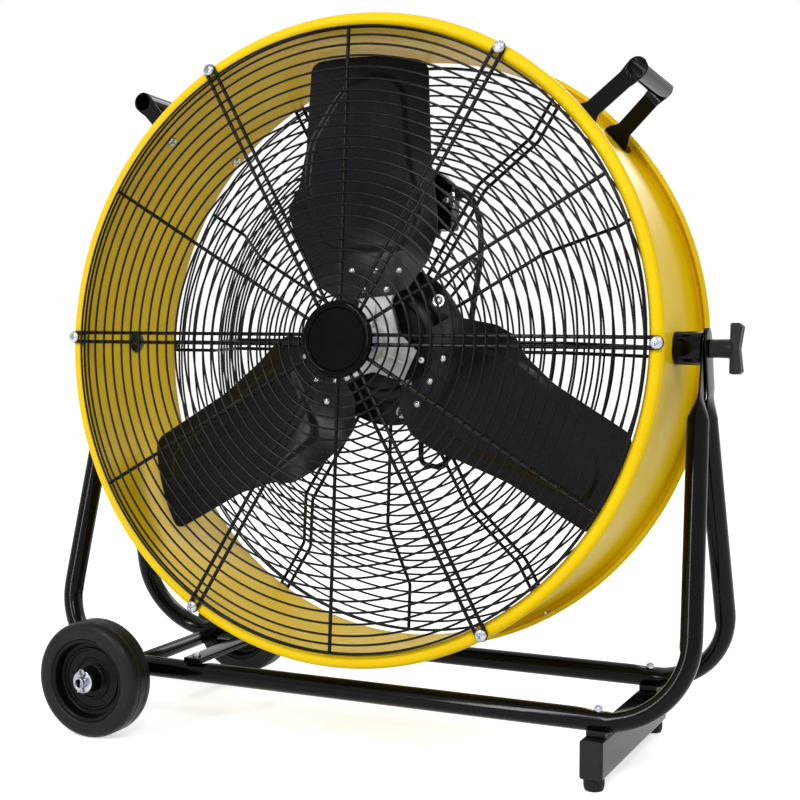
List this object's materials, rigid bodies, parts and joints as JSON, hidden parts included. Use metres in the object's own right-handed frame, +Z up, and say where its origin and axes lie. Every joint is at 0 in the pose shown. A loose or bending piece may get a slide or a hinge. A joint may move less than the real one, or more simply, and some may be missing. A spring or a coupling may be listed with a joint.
{
  "type": "drum fan",
  "caption": "Wheeled drum fan: a yellow sheet drum with wire guards and three blades tilts between two T-knobs in a stand of black bent tubes.",
  "frame": {"origin": "on the floor, under the middle of the pivot axis, at the bottom centre of the bounding box", "axes": "+Z up; -Y is the front, where air leaves the drum; +X to the right along the pivot axis, seen from the front, towards the foot bar"},
  "size_m": [0.7762, 0.3718, 0.761],
  "materials": {
    "yellow_paint": "gloss",
    "black_paint": "gloss",
    "black_wire": "satin",
    "blade_black": "satin",
    "motor_black": "satin",
    "zinc": "bright zinc plate",
    "steel": "plain",
    "cast_grey": "as cast",
    "winding_copper": "varnished",
    "black_plastic": "moulded satin",
    "badge_gloss": "gloss",
    "wheel_plastic": "moulded satin",
    "wheel_rubber": "matte",
    "foot_rubber": "matte",
    "lead_rubber": "satin"
  },
  "bodies": {
    "stand": {"front_frame_tube": "black_paint", "rear_frame_tube": "black_paint", "foot_bar": "black_paint", "foot_bar_saddles": "black_plastic", "foot_bar_plugs": "black_plastic", "rubber_feet": "foot_rubber", "foot_bolts": "zinc", "cross_strap": "black_paint", "strap_bolts": "zinc", "wheel_axle": "zinc", "axle_sleeves": "black_paint", "axle_washers": "zinc", "split_pins": "zinc"},
    "front_wheel": {"front_tyre": "wheel_rubber", "front_wheel_hub": "wheel_plastic"},
    "rear_wheel": {"rear_tyre": "wheel_rubber", "rear_wheel_hub": "wheel_plastic"},
    "rotor": {"motor_shaft": "steel", "rotor_core": "steel", "blade_1": "blade_black", "blade_2": "blade_black", "blade_3": "blade_black", "hub_spider": "cast_grey", "blade_rivets": "zinc", "hub_nut": "zinc"},
    "right_knob": {"knob_right": "black_plastic", "knob_insert_right": "zinc"},
    "left_knob": {"knob_left": "black_plastic", "knob_insert_left": "zinc"},
    "speed_switch": {"switch_knob": "black_plastic"},
    "drum": {"drum_shell": "yellow_paint", "front_guard": "black_wire", "rear_guard": "black_wire", "guard_screws": "zinc", "badge_cup": "badge_gloss", "badge_disc": "badge_gloss", "handle_right": "black_paint", "handle_left": "black_paint", "handle_screws": "zinc", "pivot_bosses": "black_paint", "pivot_bolt_right": "motor_black", "pivot_bolt_left": "motor_black", "motor_front_bell": "motor_black", "motor_rear_bell": "motor_black", "motor_barrel": "motor_black", "motor_plate": "motor_black", "motor_plate_screws": "zinc", "motor_bolts": "motor_black", "stator_core": "steel", "stator_windings": "winding_copper", "motor_bearings": "steel", "box_bracket": "black_paint", "switch_box": "black_plastic", "switch_box_lid": "black_plastic", "switch_box_screws": "zinc", "capacitor": "black_plastic", "motor_lead": "lead_rubber", "cable_glands": "black_plastic", "lead_clip": "black_wire", "cord_hook": "black_paint"}
  },
  "joints": [
    {"name": "drum_tilt", "type": "hinge", "parent": "stand", "child": "drum", "pos_m": [0, 0, 0.42], "axis": [1, 0, 0], "range_deg": [-85.8, 94.2]},
    {"name": "rotor_spin", "type": "hinge", "parent": "drum", "child": "rotor", "pos_m": [0, 0, 0.42], "axis": [0, 0.9973, -0.0732], "continuous": true},
    {"name": "right_knob_turn", "type": "hinge", "parent": "drum", "child": "right_knob", "pos_m": [0.357, 0, 0.42], "axis": [1, 0, 0], "continuous": true},
    {"name": "left_knob_turn", "type": "hinge", "parent": "drum", "child": "left_knob", "pos_m": [-0.357, 0, 0.42], "axis": [1, 0, 0], "continuous": true},
    {"name": "speed_switch_turn", "type": "hinge", "parent": "drum", "child": "speed_switch", "pos_m": [0.038, 0.07156, 0.57518], "axis": [0, 0.9973, -0.0732], "range_deg": [0, 120]},
    {"name": "front_wheel_spin", "type": "hinge", "parent": "stand", "child": "front_wheel", "pos_m": [-0.26887, -0.157, 0.0625], "axis": [0, 1, 0], "continuous": true},
    {"name": "rear_wheel_spin", "type": "hinge", "parent": "stand", "child": "rear_wheel", "pos_m": [-0.26887, 0.157, 0.0625], "axis": [0, 1, 0], "continuous": true}
  ]
}
